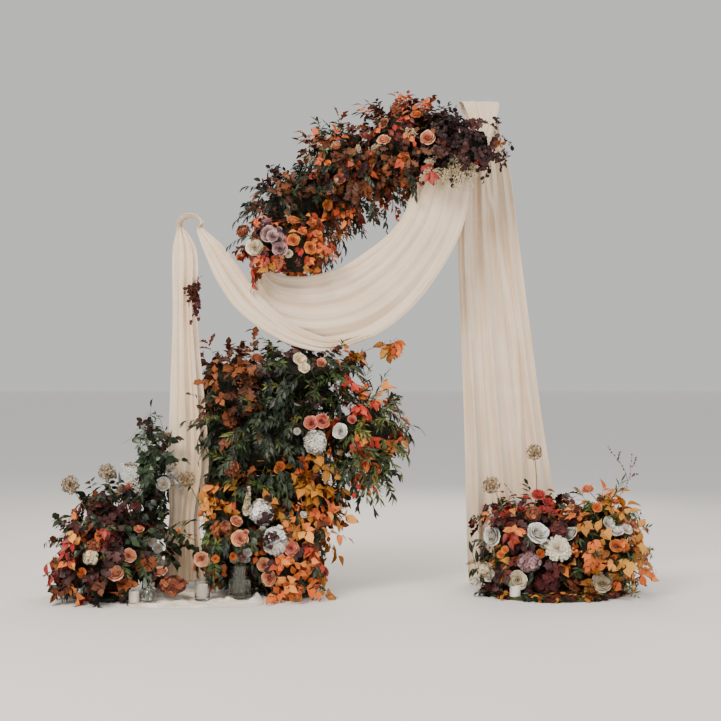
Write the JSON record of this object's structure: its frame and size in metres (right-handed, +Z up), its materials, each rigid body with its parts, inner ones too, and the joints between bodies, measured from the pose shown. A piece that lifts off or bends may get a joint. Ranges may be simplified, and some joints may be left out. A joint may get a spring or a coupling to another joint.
{
  "type": "draped wedding canopy",
  "caption": "Ivory voile hung over a limb as a long fall, a swag and a shorter fall, with moss sleeves on limb and trunk that carry autumn foliage and blooms, and flower banks at the feet.",
  "frame": {"origin": "the point on top of the limb that the voile hangs on", "axes": "+Z up, +X to the right as seen from the front, +Y to the back"},
  "size_m": [3.9475, 1.5127, 3.4318],
  "materials": {
    "voile": "matt ivory voile, slightly sheer",
    "moss": "matt dried moss bound to wire mesh",
    "jute": "matt twisted jute",
    "board_paint": "dark green matt paint on plywood",
    "clear_glass": "clear",
    "wax": "smooth ivory wax",
    "dried_seed": "matt dried seed heads and stems",
    "peach_petal": "soft matt petals",
    "coral_petal": "soft matt petals",
    "lilac_petal": "soft matt petals",
    "white_petal": "soft matt petals",
    "rust_petal": "dry matt petals",
    "green_foliage": "satin leaves",
    "rust_foliage": "dry matt leaves",
    "burgundy_foliage": "satin leaves"
  },
  "bodies": {
    "root": {"ground_pool_cloth": "voile", "right_limb_loop": "voile", "right_leg_drape": "voile", "swag_main_drape": "voile", "left_branch_loop": "voile", "swag_front_fold": "voile", "left_leg_drape": "voile", "limb_sleeve_outer": "moss", "limb_sleeve_inner": "moss", "trunk_sleeve_lower": "moss", "trunk_sleeve_upper": "moss", "trunk_tie_low": "jute", "trunk_tie_high": "jute", "left_base_board": "board_paint", "centre_base_board": "board_paint", "right_base_board": "board_paint", "votive_glass": "clear_glass", "left_glass_vase": "clear_glass", "small_glass_vase": "clear_glass", "votive_candle": "wax", "left_pillar_candle": "wax", "right_pillar_candle": "wax", "allium_left_outer": "dried_seed", "allium_left_inner": "dried_seed", "allium_left_by_cloth": "dried_seed", "allium_left_brown": "dried_seed", "allium_right_low": "dried_seed", "allium_right_tall": "dried_seed", "rose_peach_left": "peach_petal", "rose_peach_garland": "peach_petal", "rose_coral_cascade": "coral_petal", "rose_lilac_garland": "lilac_petal", "hydrangea_right_lilac": "lilac_petal", "hydrangea_cascade": "white_petal", "hydrangea_left_upper": "white_petal", "hydrangea_left_lower": "white_petal", "hydrangea_garland": "white_petal", "dahlia_right_white": "white_petal", "hydrangea_left_rust": "rust_petal", "garland_inner_foliage": "green_foliage", "cascade_top_foliage": "green_foliage", "cascade_middle_foliage": "green_foliage", "left_column_foliage": "green_foliage", "left_centre_foliage": "green_foliage", "garland_outer_foliage": "rust_foliage", "garland_middle_foliage": "rust_foliage", "garland_drop_foliage": "rust_foliage", "cascade_shoulder_foliage": "rust_foliage", "cascade_wing_foliage": "rust_foliage", "cascade_lower_foliage": "rust_foliage", "left_front_foliage": "rust_foliage", "right_side_foliage": "rust_foliage", "garland_tip_foliage": "burgundy_foliage", "left_bank_foliage": "burgundy_foliage", "right_bank_foliage": "burgundy_foliage"}
  },
  "joints": []
}
